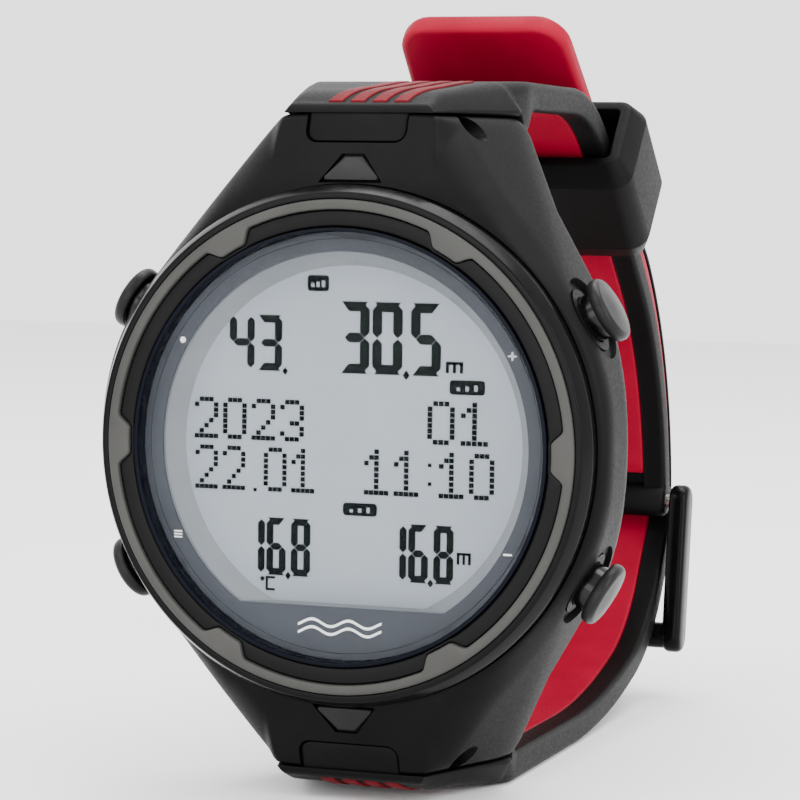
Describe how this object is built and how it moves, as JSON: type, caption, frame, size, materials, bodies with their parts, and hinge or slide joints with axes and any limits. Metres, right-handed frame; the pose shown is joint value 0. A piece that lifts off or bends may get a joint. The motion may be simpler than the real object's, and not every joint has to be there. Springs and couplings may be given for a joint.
{
  "type": "dive computer",
  "caption": "Wrist dive computer: round black case with grey tabbed bezel, grey digital display, side push buttons and a closed black strap with a red lining.",
  "frame": {"origin": "centre of the case back's outer flat face, which rests on the wrist", "axes": "+Y away from the reader, out of the case back; +Z to 12 o'clock; +X to 3 o'clock"},
  "size_m": [0.0528, 0.0852, 0.0779],
  "materials": {
    "back_plastic": "fine texture",
    "bezel_grey": "satin",
    "board_green": "solder mask",
    "cap_metal": "satin",
    "chip_black": "matte",
    "crystal_glass": "clear",
    "display_grey": "satin",
    "elastomer": "matte",
    "frame_plastic": "matte",
    "gloss_black": "gloss",
    "insert_black": "satin",
    "light_plate": "satin",
    "marker_grey": "satin",
    "mask_slate": "satin",
    "prong_black": "satin",
    "seal_rubber": "matte",
    "shell_rubber": "matte",
    "steel": "brushed",
    "strap_black": "matte",
    "strap_red": "satin",
    "wall_grey": "satin"
  },
  "bodies": {
    "case": {"backlight_panel": "light_plate", "bezel_insert": "insert_black", "bezel_ring": "bezel_grey", "button_bushes": "steel", "button_seals": "seal_rubber", "button_spring_1": "steel", "button_spring_2": "steel", "button_spring_3": "steel", "button_spring_4": "steel", "button_switches": "chip_black", "buzzer": "steel", "case_back": "back_plastic", "case_back_screws": "steel", "case_back_seal": "seal_rubber", "case_shell": "shell_rubber", "cell_spring": "steel", "chips": "chip_black", "coin_cell": "steel", "connector_strips": "elastomer", "crystal": "crystal_glass", "crystal_gasket": "seal_rubber", "crystal_rim": "insert_black", "dial_mask": "mask_slate", "display_panel": "display_grey", "display_wall": "wall_grey", "emblem_12": "strap_red", "emblem_6": "strap_red", "lug_pins": "steel", "lug_screws": "steel", "main_board": "board_green", "marker_12": "marker_grey", "marker_6": "marker_grey", "module_frame": "frame_plastic", "outer_ring": "gloss_black", "pressure_sensor": "steel", "sensor_grille": "steel", "strap_long": "strap_black", "strap_long_lining": "strap_red", "strap_short": "strap_black", "strap_short_lining": "strap_red"},
    "button_1": {"button_cap_1": "cap_metal", "button_stem_1": "steel", "button_clip_1": "steel"},
    "button_2": {"button_cap_2": "cap_metal", "button_stem_2": "steel", "button_clip_2": "steel"},
    "button_3": {"button_cap_3": "cap_metal", "button_stem_3": "steel", "button_clip_3": "steel"},
    "button_4": {"button_cap_4": "cap_metal", "button_stem_4": "steel", "button_clip_4": "steel"},
    "hatch": {"battery_hatch": "back_plastic", "hatch_seal": "seal_rubber"},
    "keeper_loop": {"keeper": "strap_black"},
    "buckle": {"buckle_frame": "gloss_black", "buckle_bar": "steel"},
    "prong": {"buckle_prong": "prong_black"}
  },
  "joints": [
    {"name": "button_1_press", "type": "slide", "parent": "case", "child": "button_1", "axis": [-0.8746, 0, -0.4848], "range_m": [0, 0.0012], "stiffness_N_per_m": 1200, "springref_m": -0.0008, "deforming": ["button_spring_1"]},
    {"name": "button_2_press", "type": "slide", "parent": "case", "child": "button_2", "axis": [0.8746, 0, -0.4848], "range_m": [0, 0.0012], "stiffness_N_per_m": 1200, "springref_m": -0.0008, "deforming": ["button_spring_2"]},
    {"name": "button_3_press", "type": "slide", "parent": "case", "child": "button_3", "axis": [0.8746, 0, 0.4848], "range_m": [0, 0.0012], "stiffness_N_per_m": 1200, "springref_m": -0.0008, "deforming": ["button_spring_3"]},
    {"name": "button_4_press", "type": "slide", "parent": "case", "child": "button_4", "axis": [-0.8746, 0, 0.4848], "range_m": [0, 0.0012], "stiffness_N_per_m": 1200, "springref_m": -0.0008, "deforming": ["button_spring_4"]},
    {"name": "hatch_turn", "type": "hinge", "parent": "case", "child": "hatch", "pos_m": [0, 0, 0], "axis": [0, 1, 0], "range_deg": [0, 55]},
    {"name": "keeper_slide", "type": "slide", "parent": "case", "child": "keeper_loop", "axis": [0, 0.7466, -0.6652], "range_m": [0, 0.007]},
    {"name": "buckle_swing", "type": "hinge", "parent": "case", "child": "buckle", "pos_m": [0, 0.06409, -0.01176], "axis": [1, 0, 0], "range_deg": [0, 4]},
    {"name": "prong_lift", "type": "hinge", "parent": "buckle", "child": "prong", "pos_m": [0, 0.06409, -0.01176], "axis": [1, 0, 0], "range_deg": [0, 4]}
  ]
}
